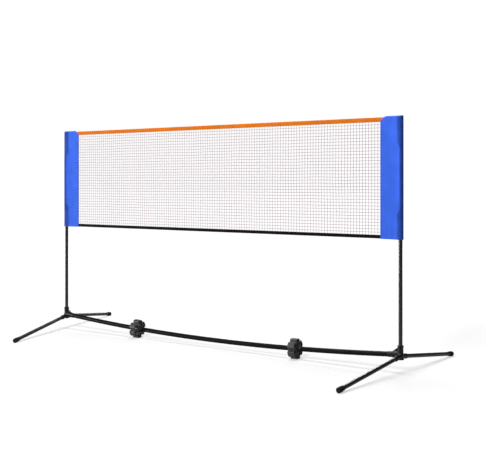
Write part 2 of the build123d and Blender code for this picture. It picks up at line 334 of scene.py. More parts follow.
def moulded_plastic(name, colour, roughness, gloss, grain):
    """Injection moulded plastic with an etched grain, flow cloudiness and scuffed highs."""
    material, tree = empty_material(name)
    output = tree.nodes.new("ShaderNodeOutputMaterial")
    output.label = "moulding"
    output.location = (1100, 0)
    shader = tree.nodes.new("ShaderNodeBsdfPrincipled")
    shader.label = "plastic"
    shader.location = (800, 0)
    shader.inputs["Specular IOR Level"].default_value = gloss
    place = tree.nodes.new("ShaderNodeTexCoord")
    place.label = "place on the moulding"
    place.location = (-700, 0)

    tint = tree.nodes.new("NodeFrame")
    tint.label = "colour and scuffs"
    flow = tree.nodes.new("ShaderNodeTexNoise")
    flow.label = "flow marks"
    flow.location = (-450, 300)
    flow.parent = tint
    flow.inputs["Scale"].default_value = 35
    flow.inputs["Detail"].default_value = 4
    shade = tree.nodes.new("ShaderNodeValToRGB")
    shade.label = "dark and light flow"
    shade.location = (-200, 300)
    shade.parent = tint
    shade.color_ramp.elements[0].position = 0.3
    shade.color_ramp.elements[0].color = (*(0.8 * c for c in colour), 1)
    shade.color_ramp.elements[1].position = 0.75
    shade.color_ramp.elements[1].color = (*(1.25 * c for c in colour), 1)

    finish = tree.nodes.new("NodeFrame")
    finish.label = "etched grain"
    etch = tree.nodes.new("ShaderNodeTexVoronoi")
    etch.label = "etched cells"
    etch.location = (-450, -80)
    etch.parent = finish
    etch.inputs["Scale"].default_value = grain
    worn = tree.nodes.new("ShaderNodeMapRange")
    worn.label = "matt and handled"
    worn.location = (-200, -80)
    worn.parent = finish
    worn.inputs["From Min"].default_value = 0.3
    worn.inputs["From Max"].default_value = 0.7
    worn.inputs["To Min"].default_value = roughness + 0.08
    worn.inputs["To Max"].default_value = roughness - 0.08
    relief = tree.nodes.new("ShaderNodeBump")
    relief.label = "grain relief"
    relief.location = (0, -340)
    relief.parent = finish
    relief.inputs["Strength"].default_value = 0.25
    relief.inputs["Distance"].default_value = 0.0003

    tree.links.new(place.outputs["Object"], flow.inputs["Vector"])
    tree.links.new(place.outputs["Object"], etch.inputs["Vector"])
    tree.links.new(flow.outputs["Fac"], shade.inputs["Fac"])
    tree.links.new(shade.outputs["Color"], shader.inputs["Base Color"])
    tree.links.new(flow.outputs["Fac"], worn.inputs["Value"])
    tree.links.new(worn.outputs["Result"], shader.inputs["Roughness"])
    tree.links.new(etch.outputs["Distance"], relief.inputs["Height"])
    tree.links.new(relief.outputs["Normal"], shader.inputs["Normal"])
    tree.links.new(shader.outputs["BSDF"], output.inputs["Surface"])
    return material


def new_piece(name, mesh):
    """A new object for a mesh, at the origin."""
    piece = bpy.data.objects.new(name, mesh)
    bpy.context.scene.collection.objects.link(piece)
    return piece


def only(piece):
    """Selects one piece and makes it active."""
    bpy.ops.object.select_all(action="DESELECT")
    piece.select_set(True)
    bpy.context.view_layer.objects.active = piece


def moulding(node, name, skin_size, keep):
    """A rounded moulding in the exact form of a machined part: re-skinned, then eased."""
    piece = new_piece(name, nodes[node].data.copy())
    piece.data.materials.clear()
    only(piece)
    bpy.ops.object.mode_set(mode="EDIT")
    bpy.ops.mesh.select_all(action="SELECT")
    bpy.ops.mesh.remove_doubles(threshold=merge_distance)
    bpy.ops.object.mode_set(mode="OBJECT")
    skin = piece.modifiers.new("skin", "REMESH")
    skin.mode = "VOXEL"
    skin.voxel_size = skin_size
    ease = piece.modifiers.new("ease", "SMOOTH")
    ease.factor = 0.5
    ease.iterations = 6
    thin = piece.modifiers.new("thin", "DECIMATE")
    thin.ratio = keep
    for step in ("skin", "ease", "thin"):
        bpy.ops.object.modifier_apply(modifier=step)
    bpy.ops.object.shade_smooth()
    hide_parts(node)
    return piece


merge_distance = 0.00001
hub_black = moulded_plastic(
    "hub_black", (0.0024, 0.0022, 0.0024), roughness=0.36, gloss=0.30, grain=1500
)
for side_name, side in sides:
    hub = moulding(f"{side_name}_hub", f"{side_name}_hub_moulding", skin_size=0.0009, keep=0.22)
    hub.data.materials.append(hub_black)
    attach(hub, "base")

# ----------------------------------------
# Foot caps: black rubber, moulded with a thin neck, three grip grooves and a round nose,
# pushed onto the leg ends. The rubber is flat where it stands on the floor.


def foot_rubber(name, colour):
    """Carbon black rubber: dull, speckled with dust, and greyer towards the floor."""
    material, tree = empty_material(name)
    output = tree.nodes.new("ShaderNodeOutputMaterial")
    output.label = "rubber foot"
    output.location = (1100, 0)
    shader = tree.nodes.new("ShaderNodeBsdfPrincipled")
    shader.label = "rubber"
    shader.location = (800, 0)
    shader.inputs["Roughness"].default_value = 0.62
    shader.inputs["Specular IOR Level"].default_value = 0.12
    place = tree.nodes.new("ShaderNodeTexCoord")
    place.label = "place on the foot"
    place.location = (-800, 0)

    dust = tree.nodes.new("NodeFrame")
    dust.label = "floor dust"
    height = tree.nodes.new("ShaderNodeSeparateXYZ")
    height.label = "height above the floor"
    height.location = (-560, 260)
    height.parent = dust
    low = tree.nodes.new("ShaderNodeMapRange")
    low.label = "dusty below, clean above"
    low.location = (-360, 260)
    low.parent = dust
    low.inputs["From Min"].default_value = 0.0
    low.inputs["From Max"].default_value = 0.014
    low.inputs["To Min"].default_value = 0.75
    low.inputs["To Max"].default_value = 0.12
    speckle = tree.nodes.new("ShaderNodeTexNoise")
    speckle.label = "dust specks"
    speckle.location = (-560, 40)
    speckle.parent = dust
    speckle.inputs["Scale"].default_value = 260
    speckle.inputs["Detail"].default_value = 4
    amount = tree.nodes.new("ShaderNodeMath")
    amount.label = "dust amount"
    amount.location = (-160, 160)
    amount.parent = dust
    amount.operation = "MULTIPLY"
    tint = tree.nodes.new("ShaderNodeMix")
    tint.label = "rubber under dust"
    tint.location = (60, 200)
    tint.parent = dust
    tint.data_type = "RGBA"
    tint.inputs["A"].default_value = (*colour, 1)
    tint.inputs["B"].default_value = (0.034, 0.031, 0.029, 1)

    grain = tree.nodes.new("NodeFrame")
    grain.label = "moulded grain"
    pores = tree.nodes.new("ShaderNodeTexNoise")
    pores.label = "pores"
    pores.location = (-200, -300)
    pores.parent = grain
    pores.inputs["Scale"].default_value = 1300
    relief = tree.nodes.new("ShaderNodeBump")
    relief.label = "pore relief"
    relief.location = (20, -300)
    relief.parent = grain
    relief.inputs["Strength"].default_value = 0.3
    relief.inputs["Distance"].default_value = 0.0004

    tree.links.new(place.outputs["Object"], height.inputs["Vector"])
    tree.links.new(place.outputs["Object"], speckle.inputs["Vector"])
    tree.links.new(place.outputs["Object"], pores.inputs["Vector"])
    tree.links.new(height.outputs["Z"], low.inputs["Value"])
    tree.links.new(low.outputs["Result"], amount.inputs[0])
    tree.links.new(speckle.outputs["Fac"], amount.inputs[1])
    tree.links.new(amount.outputs["Value"], tint.inputs["Factor"])
    tree.links.new(tint.outputs["Result"], shader.inputs["Base Color"])
    tree.links.new(pores.outputs["Fac"], relief.inputs["Height"])
    tree.links.new(relief.outputs["Normal"], shader.inputs["Normal"])
    tree.links.new(shader.outputs["BSDF"], output.inputs["Surface"])
    return material


cap_bore = 0.01255
cap_neck = 0.0145
cap_head = 0.0165
cap_length = 0.0500
lip_round = 0.0006
groove_floor = 0.0151
first_groove = 0.0225
groove_pitch = 0.006
bore_depth = 0.044
floor_gap = 0.0001
crisp_angle = math.radians(35)
cap_profile = [
    (0.0, cap_neck - lip_round), (lip_round, cap_neck), (0.0145, cap_neck),
    (0.0160, cap_neck + 0.0004), (0.0172, cap_head - 0.0004), (0.0184, cap_head),
]
for groove in range(3):
    groove_start = first_groove + groove_pitch * groove
    cap_profile += [
        (groove_start, cap_head), (groove_start + 0.0005, groove_floor),
        (groove_start + 0.0020, groove_floor), (groove_start + 0.0025, cap_head),
    ]
cap_profile += [
    (0.0452, cap_head), (0.0478, 0.0160), (0.0494, 0.0145),
    (cap_length, 0.0120), (cap_length, 0.0050),
]


def end_centre(points):
    """Middle of a ring of points."""
    low = Vector(tuple(min(p[i] for p in points) for i in range(3)))
    high = Vector(tuple(max(p[i] for p in points) for i in range(3)))
    return (low + high) / 2


def leg_axis(node):
    """Where a leg tube starts, where it ends, and its direction away from the hub."""
    points = [v.co.copy() for v in nodes[node].data.vertices]
    reach = [abs(p.y) for p in points]
    middle = (min(reach) + max(reach)) / 2
    start = end_centre([p for p in points if abs(p.y) < middle])
    end = end_centre([p for p in points if abs(p.y) > middle])
    return start, end, (end - start).normalized()


def turned_cap(name):
    """A rubber cap on the Z axis, mouth at 0, worked ring by ring up to its nose."""
    bpy.ops.object.select_all(action="DESELECT")
    bpy.ops.mesh.primitive_circle_add(vertices=48, radius=cap_bore, location=(0, 0, 0))
    cap = bpy.context.object
    cap.name = name
    bpy.ops.object.mode_set(mode="EDIT")
    bpy.ops.mesh.select_all(action="SELECT")
    radius = cap_bore
    height = 0.0
    for next_height, next_radius in cap_profile:
        bpy.ops.mesh.extrude_region_move(
            TRANSFORM_OT_translate={"value": (0, 0, next_height - height)}
        )
        grow = next_radius / radius
        bpy.ops.transform.resize(value=(grow, grow, 1))
        radius, height = next_radius, next_height
    bpy.ops.mesh.edge_face_add()
    bpy.ops.mesh.select_all(action="SELECT")
    bpy.ops.mesh.normals_make_consistent(inside=False)
    bpy.ops.object.mode_set(mode="OBJECT")
    return cap


rubber = foot_rubber("foot_rubber_black", (0.0032, 0.0030, 0.0032))
for side_name, side in sides:
    for end_name in ends:
        place = f"{side_name}_{end_name}"
        start, end, along = leg_axis(f"{place}_leg")
        cap = turned_cap(f"{place}_foot_cap")
        mouth = end - along * bore_depth
        turn = along.to_track_quat("Z", "Y").to_matrix().to_4x4()
        cap.matrix_world = Matrix.Translation(mouth) @ turn
        only(cap)
        bpy.ops.object.transform_apply(location=True, rotation=True, scale=True)
        bpy.ops.object.mode_set(mode="EDIT")
        bpy.ops.mesh.select_all(action="SELECT")
        bpy.ops.mesh.bisect(
            plane_co=(0, 0, floor_gap), plane_no=(0, 0, 1), use_fill=True, clear_inner=True
        )
        bpy.ops.object.mode_set(mode="OBJECT")
        bpy.ops.object.shade_smooth_by_angle(angle=crisp_angle)
        cap.data.materials.append(rubber)
        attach(cap, "base")
        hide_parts(f"{place}_foot")

# ----------------------------------------
# Wheel couplers and snap rings: black plastic sleeves that join the bar tubes, each with
# a flange and a ring that keep its wheel in place.
coupler_black = moulded_plastic(
    "coupler_black", (0.006, 0.0057, 0.006), roughness=0.40, gloss=0.30, grain=1700
)
for side_name, side in sides:
    for part in ("wheel_coupler", "wheel_stop_ring"):
        place = f"{side_name}_{part}"
        ring = moulding(place, f"{place}_moulding", skin_size=0.0006, keep=0.25)
        ring.data.materials.append(coupler_black)
        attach(ring, "base")

# ----------------------------------------
# Support wheels: charcoal plastic mouldings with six square lobes, open between their
# spokes. They run on the couplers and hold the bar's low middle just off the floor.
wheel_charcoal = moulded_plastic(
    "wheel_charcoal", (0.026, 0.025, 0.026), roughness=0.38, gloss=0.60, grain=1300
)
for side_name, side in sides:
    name = f"{side_name}_support_wheel"
    wheel = moulding(f"{side_name}_wheel", name, skin_size=0.0009, keep=0.22)
    wheel.data.materials.append(wheel_charcoal)
    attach(wheel, f"{side_name}_roller")

# ----------------------------------------
# Poles: dark grey powder-coated steel, the upper tube sliding in the lower. A nylon bush
# and a slit nylon collet guide it, a ribbed ring clamps it, and a cap closes its top.
pole_grey = powder_coat(
    "pole_grey", (0.0060, 0.0060, 0.0062), roughness=0.26, gloss=0.52, rubbed=(60, 60, 6)
)
nylon = moulded_plastic(
    "natural_nylon", (0.52, 0.51, 0.47), roughness=0.5, gloss=0.4, grain=1800
)
ring_black = moulded_plastic(
    "ring_black", (0.009, 0.009, 0.0093), roughness=0.42, gloss=0.30, grain=1700
)
for side_name, side in sides:
    refinish(f"{side_name}_lower_pole", pole_grey)
    refinish(f"{side_name}_upper_pole", pole_grey)
    refinish(f"{side_name}_pole_bush", nylon)
    refinish(f"{side_name}_pole_collet", nylon)
    refinish(f"{side_name}_pole_cap", ring_black)
    name = f"{side_name}_ribbed_lock_ring"
    lock = moulding(f"{side_name}_lock_ring", name, skin_size=0.0004, keep=0.25)
    lock.data.materials.append(ring_black)
    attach(lock, f"{side_name}_lock")

# ----------------------------------------
# Net sleeves: one loop of royal blue woven polyester each, drawn tight from the pole to
# the netting, hemmed at the foot and sewn shut over the pole's top. The shoulder falls
# to the top tape, which runs into the loop.

# A wave texture of scale 1 repeats at this length.
wave_period = 0.31


def woven_cloth(name, colour, thread, sheen, slack):
    """Plain weave on the cloth's own lengths: warp and weft relief, slubs, and painted shade near the
    pole and seam.
    """
    material, tree = empty_material(name)
    output = tree.nodes.new("ShaderNodeOutputMaterial")
    output.label = "cloth"
    output.location = (1300, 0)
    shader = tree.nodes.new("ShaderNodeBsdfPrincipled")
    shader.label = "dyed polyester"
    shader.location = (1000, 0)
    shader.inputs["Roughness"].default_value = 0.72
    shader.inputs["Specular IOR Level"].default_value = 0.06
    shader.inputs["Sheen Weight"].default_value = sheen
    shader.inputs["Sheen Roughness"].default_value = 0.4
    lengths = tree.nodes.new("ShaderNodeUVMap")
    lengths.label = "metres along the cloth"
    lengths.location = (-900, 0)
    lengths.uv_map = "cloth"

    weave = tree.nodes.new("NodeFrame")
    weave.label = "weave"
    warp = tree.nodes.new("ShaderNodeTexWave")
    warp.label = "warp threads"
    warp.location = (-600, -120)
    warp.parent = weave
    warp.bands_direction = "X"
    warp.inputs["Scale"].default_value = wave_period / thread
    warp.inputs["Distortion"].default_value = slack
    weft = tree.nodes.new("ShaderNodeTexWave")
    weft.label = "weft threads"
    weft.location = (-600, -420)
    weft.parent = weave
    weft.bands_direction = "Y"
    weft.inputs["Scale"].default_value = wave_period / thread
    weft.inputs["Distortion"].default_value = slack
    crossing = tree.nodes.new("ShaderNodeMath")
    crossing.label = "threads cross"
    crossing.location = (-360, -260)
    crossing.parent = weave
    crossing.operation = "MULTIPLY"
    relief = tree.nodes.new("ShaderNodeBump")
    relief.label = "thread relief"
    relief.location = (-120, -300)
    relief.parent = weave
    relief.inputs["Strength"].default_value = 0.35
    relief.inputs["Distance"].default_value = 0.0004

    dye = tree.nodes.new("NodeFrame")
    dye.label = "dye"
    cloud = tree.nodes.new("ShaderNodeTexNoise")
    cloud.label = "uneven dye"
    cloud.location = (-600, 300)
    cloud.parent = dye
    cloud.inputs["Scale"].default_value = 9
    cloud.inputs["Detail"].default_value = 5
    shade = tree.nodes.new("ShaderNodeValToRGB")
    shade.label = "deep and pale dye"
    shade.location = (-360, 300)
    shade.parent = dye
    shade.color_ramp.elements[0].position = 0.3
    shade.color_ramp.elements[0].color = (*(0.86 * c for c in colour), 1)
    shade.color_ramp.elements[1].position = 0.75
    shade.color_ramp.elements[1].color = (*(min(1.0, 1.1 * c) for c in colour), 1)
    gap = tree.nodes.new("ShaderNodeMapRange")
    gap.label = "shade between threads"
    gap.location = (-120, 60)
    gap.parent = dye
    gap.inputs["To Min"].default_value = 0.8
    gap.inputs["To Max"].default_value = 1.08
    # Painted shade: the dye is scaled down to half its colour near the pole and along the seam, as the
    # sleeves' painted shade attribute sets.
    painted_shade = tree.nodes.new("ShaderNodeAttribute")
    painted_shade.label = "painted shade near pole and seam"
    painted_shade.location = (-360, 0)
    painted_shade.parent = dye
    painted_shade.attribute_name = "painted_shade_amount"
    through = tree.nodes.new("ShaderNodeMapRange")
    through.label = "dark backing shows through"
    through.location = (-120, -40)
    through.parent = dye
    through.inputs["To Min"].default_value = 1.0
    through.inputs["To Max"].default_value = 0.50
    depth = tree.nodes.new("ShaderNodeMath")
    depth.label = "threads over the backing"
    depth.location = (60, 60)
    depth.parent = dye
    depth.operation = "MULTIPLY"
    tinted = tree.nodes.new("ShaderNodeVectorMath")
    tinted.label = "dye in the threads"
    tinted.location = (240, 220)
    tinted.parent = dye
    tinted.operation = "SCALE"

    tree.links.new(lengths.outputs["UV"], warp.inputs["Vector"])
    tree.links.new(lengths.outputs["UV"], weft.inputs["Vector"])
    tree.links.new(lengths.outputs["UV"], cloud.inputs["Vector"])
    tree.links.new(warp.outputs["Fac"], crossing.inputs[0])
    tree.links.new(weft.outputs["Fac"], crossing.inputs[1])
    tree.links.new(crossing.outputs["Value"], relief.inputs["Height"])
    tree.links.new(relief.outputs["Normal"], shader.inputs["Normal"])
    tree.links.new(cloud.outputs["Fac"], shade.inputs["Fac"])
    tree.links.new(crossing.outputs["Value"], gap.inputs["Value"])
    tree.links.new(shade.outputs["Color"], tinted.inputs[0])
    tree.links.new(painted_shade.outputs["Fac"], through.inputs["Value"])
    tree.links.new(gap.outputs["Result"], depth.inputs[0])
    tree.links.new(through.outputs["Result"], depth.inputs[1])
    tree.links.new(depth.outputs["Value"], tinted.inputs["Scale"])
    tree.links.new(tinted.outputs["Vector"], shader.inputs["Base Color"])
    tree.links.new(shader.outputs["BSDF"], output.inputs["Surface"])
    return material


def twine_finish(name, colour):
    """Twisted and waxed polyethylene twine with a slight sheen."""
    material, tree = empty_material(name)
    output = tree.nodes.new("ShaderNodeOutputMaterial")
    output.label = "twine"
    output.location = (900, 0)
    shader = tree.nodes.new("ShaderNodeBsdfPrincipled")
    shader.label = "waxed twine"
    shader.location = (600, 0)
    shader.inputs["Roughness"].default_value = 0.6
    shader.inputs["Specular IOR Level"].default_value = 0.35
    place = tree.nodes.new("ShaderNodeTexCoord")
    place.label = "place on the net"
    place.location = (-700, 0)
    dye = tree.nodes.new("ShaderNodeTexNoise")
    dye.label = "uneven dye"
    dye.location = (-400, 160)
    dye.inputs["Scale"].default_value = 22
    shade = tree.nodes.new("ShaderNodeValToRGB")
    shade.label = "brown to grey"
    shade.location = (-150, 160)
    shade.color_ramp.elements[0].position = 0.35
    shade.color_ramp.elements[0].color = (*(0.8 * c for c in colour), 1)
    shade.color_ramp.elements[1].position = 0.7
    shade.color_ramp.elements[1].color = (*(1.3 * c for c in colour), 1)
    lay = tree.nodes.new("ShaderNodeTexWave")
    lay.label = "twist of the strands"
    lay.location = (-400, -160)
    lay.bands_direction = "DIAGONAL"
    lay.inputs["Scale"].default_value = 520
    relief = tree.nodes.new("ShaderNodeBump")
    relief.label = "strand relief"
    relief.location = (-100, -160)
    relief.inputs["Strength"].default_value = 0.5
    relief.inputs["Distance"].default_value = 0.0002
    tree.links.new(place.outputs["Object"], dye.inputs["Vector"])
    tree.links.new(place.outputs["Object"], lay.inputs["Vector"])
    tree.links.new(dye.outputs["Fac"], shade.inputs["Fac"])
    tree.links.new(shade.outputs["Color"], shader.inputs["Base Color"])
    tree.links.new(lay.outputs["Fac"], relief.inputs["Height"])
    tree.links.new(relief.outputs["Normal"], shader.inputs["Normal"])
    tree.links.new(shader.outputs["BSDF"], output.inputs["Surface"])
    return material


def cloth_tube(name, rows, shut_top):
    """A tube of cloth from rings of points, with a UV map in metres round and along it."""
    mesh = bpy.data.meshes.new(name)
    build = bmesh.new()
    lengths = build.loops.layers.uv.new("cloth")
    made = [[build.verts.new(p) for p in row] for row in rows]
    around = len(rows[0])
    across = [0.0]
    for i in range(around):
        across.append(across[-1] + (rows[0][(i + 1) % around] - rows[0][i]).length)
    up = [0.0]
    for low, high in zip(rows, rows[1:]):
        up.append(up[-1] + (high[0] - low[0]).length)
    for j in range(len(rows) - 1):
        for i in range(around):
            k = (i + 1) % around
            face = build.faces.new((made[j][i], made[j][k], made[j + 1][k], made[j + 1][i]))
            face.smooth = True
            corners = ((i, j), (i + 1, j), (i + 1, j + 1), (i, j + 1))
            for loop, (a, b) in zip(face.loops, corners):
                loop[lengths].uv = (across[a], up[b])
    if shut_top:
        top = made[-1]
        for i in range(around // 2):
            ring = [top[i], top[i + 1], top[-i - 1], top[-i]]
            corners = list(dict.fromkeys(ring))
            face = build.faces.new(corners)
            for loop in face.loops:
                loop[lengths].uv = (loop.vert.co.x, up[-1] + loop.vert.co.y)
    bmesh.ops.recalc_face_normals(build, faces=build.faces)
    build.to_mesh(mesh)
    build.free()
    return new_piece(name, mesh)


def face_outwards(piece):
    """Turns every closed shell of a piece the right way out."""
    only(piece)
    bpy.ops.object.mode_set(mode="EDIT")
    bpy.ops.mesh.select_all(action="SELECT")
    bpy.ops.mesh.normals_make_consistent(inside=False)
    bpy.ops.object.mode_set(mode="OBJECT")


def sewing(name, rows, stitch, gap, thick):
    """Rows of lock stitches: small thread ovals laid end to end along each row's line."""
    bpy.ops.object.select_all(action="DESELECT")
    bpy.ops.mesh.primitive_ico_sphere_add(subdivisions=1, radius=1, location=(0, 0, 0))
    oval = bpy.context.object
    shape = [v.co.copy() for v in oval.data.vertices]
    sides_of = [tuple(f.vertices) for f in oval.data.polygons]
    bpy.data.objects.remove(oval)
    points = []
    faces = []
    for line, outward in rows:
        walked = [0.0]
        for a, b in zip(line, line[1:]):
            walked.append(walked[-1] + (b - a).length)
        spot = (stitch + gap) / 2
        span = 0
        while spot < walked[-1]:
            while walked[span + 1] < spot:
                span += 1
            a, b = line[span], line[span + 1]
            along = (b - a).normalized()
            middle = a.lerp(b, (spot - walked[span]) / (walked[span + 1] - walked[span]))
            out = outward[span] if isinstance(outward, list) else outward
            cross = along.cross(out).normalized()
            first = len(points)
            for p in shape:
                spread = cross * p.y * thick
                points.append(middle + along * p.x * stitch / 2 + spread + out * p.z * thick)
            faces += [tuple(first + i for i in f) for f in sides_of]
            spot += stitch + gap
    mesh = bpy.data.meshes.new(name)
    mesh.from_pydata(points, [], faces)
    mesh.shade_smooth()
    piece = new_piece(name, mesh)
    face_outwards(piece)
    return piece


pole_low, pole_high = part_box("right_upper_pole")
pole_x = (pole_low[0] + pole_high[0]) / 2
sleeve_low, sleeve_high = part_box("right_net_sleeve")
sleeve_foot = sleeve_low[2]
sleeve_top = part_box("right_sleeve_crown")[1][2]
sleeve_height = sleeve_top - sleeve_foot
sleeve_reach = pole_x - sleeve_low[0]
sleeve_round = sleeve_high[0] - pole_x
cloth_thickness = 0.0009
seam_round = 0.0026
seam_edge = 0.0014
seam_slack = 0.0004
shoulder_reach = 0.036
shoulder_drop = 0.024
roof_height = 0.010
hem_height = 0.018
hem_step = 0.0005
hem_fold = 0.001
row_spacing = 0.0056
seam_centre = sleeve_reach - seam_round
lean = math.asin((sleeve_round - seam_round) / seam_centre)

# Folds in the drawn cloth: how deep each lies, how far it fades and how often it comes.
# The sides are -1 for the left sleeve and 1 for the right one.
drag_depth, drag_across, drag_up = 0.0018, 9, 2.2
crease_depth, crease_finer = 0.0008, 2.6
pull_depth, pull_fade, pull_turns = 0.0007, 0.09, 190
hang_depth, hang_fade, hang_turns = 0.0010, 0.06, 150
sink_depth = 0.0024
belly_depth, belly_middle, belly_width = 0.0034, 0.001, 0.0105
belly_start = {-1: 0.16, 1: 0.24}

# Painted shade on the sleeves: how far in from the pole's axis the cloth is painted darker where shade
# falls round the pole, and how much darker along the seam.
pole_shade_reach = {-1: 0.035, 1: 0.017}
pole_shade_narrowing = 0.020
pole_shade_drift = 0.003
seam_painted_shade = 0.22


def loop_half(inward):
    """Half the loop's thickness at a distance in from the pole: round, then drawn tight."""
    if inward < sleeve_round * math.sin(lean):
        return math.sqrt(max(0.0, sleeve_round ** 2 - inward ** 2))
    if inward < seam_centre + seam_round * math.sin(lean):
        return (sleeve_round - inward * math.sin(lean)) / math.cos(lean)
    return math.sqrt(max(0.0, seam_round ** 2 - (inward - seam_centre) ** 2))


def loop_outline():
    """Distances in from the pole, from the seam round the front to the pole's far side."""
    flats, rounds = 32, 16
    distances = [seam_centre + seam_round * math.cos(math.radians(15 * k)) for k in range(6)]
    flat_start = distances[-1]
    flat_end = sleeve_round * math.sin(lean)
    distances += [flat_start + (flat_end - flat_start) * k / flats for k in range(1, flats)]
    for k in range(rounds + 1):
        distances.append(sleeve_round * math.sin(lean - (math.pi / 2 + lean) * k / rounds))
    return distances


def top_edge(inward):
    """Height of the sleeve's top edge at a distance in from the pole axis."""
    into_shoulder = max(0.0, inward - (sleeve_reach - shoulder_reach)) / shoulder_reach
    return sleeve_top - shoulder_drop * into_shoulder ** 1.15


def ease(low, high, value):
    """Smooth step from 0 to 1."""
    t = min(1.0, max(0.0, (value - low) / (high - low)))
    return t * t * (3 - 2 * t)


def cloth_half(side, front, inward, z):
    """Half thickness of the worn cloth: the tight loop with drag folds, belly and hem."""
    top = top_edge(inward)
    flat = ease(sleeve_round * 0.7, sleeve_round + 0.02, inward) * ease(0.0, 0.02, sleeve_reach - inward)
    spot = Vector((inward * drag_across + side * 3.1, front * 2.7, z * drag_up))
    drag = noise.noise(spot) * drag_depth + noise.noise(spot * crease_finer) * crease_depth
    pull = math.exp(-(top - z) / pull_fade) * math.sin((inward + (top - z)) * pull_turns) * pull_depth
    hang = math.exp(-(z - sleeve_foot) / hang_fade) * math.sin(inward * hang_turns + front) * hang_depth
    sink = -sink_depth * math.sin(math.pi * min(1.0, max(0.0, inward / sleeve_reach)))
    share = (z - sleeve_foot) / sleeve_height
    start = belly_start[side]
    belly = belly_depth * ease(start, start + 0.05, share) * (1 - ease(0.70, 0.80, share))
    belly *= math.exp(-((inward - belly_middle) / belly_width) ** 2)
    hem = hem_step * (1 - ease(hem_height - hem_fold, hem_height, z - sleeve_foot))
    return loop_half(inward) + flat * (drag + pull + hang + sink) + belly + hem


def painted_shade_amount(side, inward, z):
    """Painted shade: how much darker the cloth is painted near the pole, most near both ends, and less
    along its seam.
    """
    share = (z - sleeve_foot) / sleeve_height
    free = ease(0.19, 0.26, share) * (1 - ease(0.72, 0.79, share))
    drift = noise.noise(Vector((side * 4.1, 6.6, z * 14))) * pole_shade_drift
    reach = pole_shade_reach[side] - pole_shade_narrowing * free + drift
    pole_shade = 1 - ease(reach - 0.009, reach + 0.004, inward)
    seam_shade = seam_painted_shade * ease(sleeve_reach - 0.016, sleeve_reach - 0.008, inward)
    return max(pole_shade, seam_shade)


def sleeve_rings(side):
    """Rings of the loop from hem to top seam, pinched shut along the top."""
    body = sleeve_height - roof_height
    levels = [0.0, 0.0012, hem_height / 2, hem_height - hem_fold, hem_height, hem_height + 0.003]
    count = int((body - levels[-1]) / row_spacing)
    levels += [levels[-1] + (body - levels[-1]) * (k + 1) / count for k in range(count)]
    levels += [body + roof_height * math.sin(math.radians(15 * k)) for k in range(1, 7)]
    distances = loop_outline()
    rings = []
    for level in levels:
        ring = []
        pinch = math.sqrt(max(0.0, 1 - max(0.0, (level - body) / roof_height) ** 2))
        for front in (-1, 1):
            path = distances if front < 0 else distances[-2:0:-1]
            for inward in path:
                z = sleeve_foot + (top_edge(inward) - sleeve_foot) * level / sleeve_height
                half = max(seam_edge * loop_half(inward) / sleeve_round + seam_slack,
                           cloth_half(side, front, inward, z) * pinch)
                if inward in (distances[0], distances[-1]):
                    half = 0.0
                ring.append(Vector((side * (pole_x - inward), front * half, z)))
        rings.append(ring)
    return rings


def sleeve_sewing(side):
    """Stitch rows on both faces: along the netting seam, the hem and the top seam."""
    rows = []
    lift = 0.0001
    seam_insets = (0.006, 0.015)
    upright_steps, level_steps = 120, 40
    for front in (-1, 1):
        outward = Vector((0, front, 0))

        def on_cloth(inward, z):
            half = cloth_half(side, front, inward, z) + lift
            return Vector((side * (pole_x - inward), front * half, z))

        for inset in seam_insets:
            inward = sleeve_reach - inset
            low, high = sleeve_foot + 0.003, top_edge(inward) - 0.012
            line = [on_cloth(inward, low + (high - low) * k / upright_steps)
                    for k in range(upright_steps + 1)]
            rows.append((line, outward))
        span = [0.014 + (sleeve_reach - 0.022) * k / level_steps for k in range(level_steps + 1)]
        rows.append(([on_cloth(d, sleeve_foot + hem_height - 0.003) for d in span], outward))
        rows.append(([on_cloth(d, top_edge(d) - roof_height - 0.002) for d in span], outward))
    return rows


royal_blue = woven_cloth(
    "royal_blue_polyester", (0.037, 0.116, 0.645), thread=0.0007, sheen=0.03, slack=0.6
)
blue_thread = twine_finish("blue_sewing_thread", (0.028, 0.075, 0.46))
thread_round = 0.00035
for side_name, side in sides:
    sleeve = cloth_tube(f"{side_name}_sleeve_cloth", sleeve_rings(side), True)
    only(sleeve)
    wall = sleeve.modifiers.new("cloth", "SOLIDIFY")
    wall.thickness = cloth_thickness
    wall.offset = -1
    bpy.ops.object.modifier_apply(modifier="cloth")
    # Painted shade: each corner stores how much darker its dye is painted near the pole and along the
    # seam.
    painted_shade = sleeve.data.attributes.new("painted_shade_amount", "FLOAT", "POINT")
    for corner in sleeve.data.vertices:
        inward = pole_x - side * corner.co.x
        painted_shade.data[corner.index].value = painted_shade_amount(side, inward, corner.co.z)
    sleeve.data.materials.append(royal_blue)
    rows = sleeve_sewing(side)
    stitches = sewing(f"{side_name}_sleeve_stitching", rows, stitch=0.0036, gap=0.0014,
                      thick=thread_round)
    stitches.data.materials.append(blue_thread)
    for piece in (sleeve, stitches):
        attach(piece, "net")
    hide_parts(f"{side_name}_net_sleeve", f"{side_name}_sleeve_crown")

# ----------------------------------------
# Netting: knotted plum-brown twine in 20 mm squares, hung between the two tapes and
# sewn into the sleeves' seams. The meshes are a little uneven, as tied netting is.


net_low, net_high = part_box("netting")
mesh_square = 0.02
twine_round = 0.00095
knot_round = 0.0018
tuck = 0.004
drift_size = 0.003
jitter_size = 0.0018
billow_depth = 0.006
net_seed = 7
columns = round((net_high[0] - net_low[0]) / mesh_square)
lines = round((net_high[2] - net_low[2]) / mesh_square)


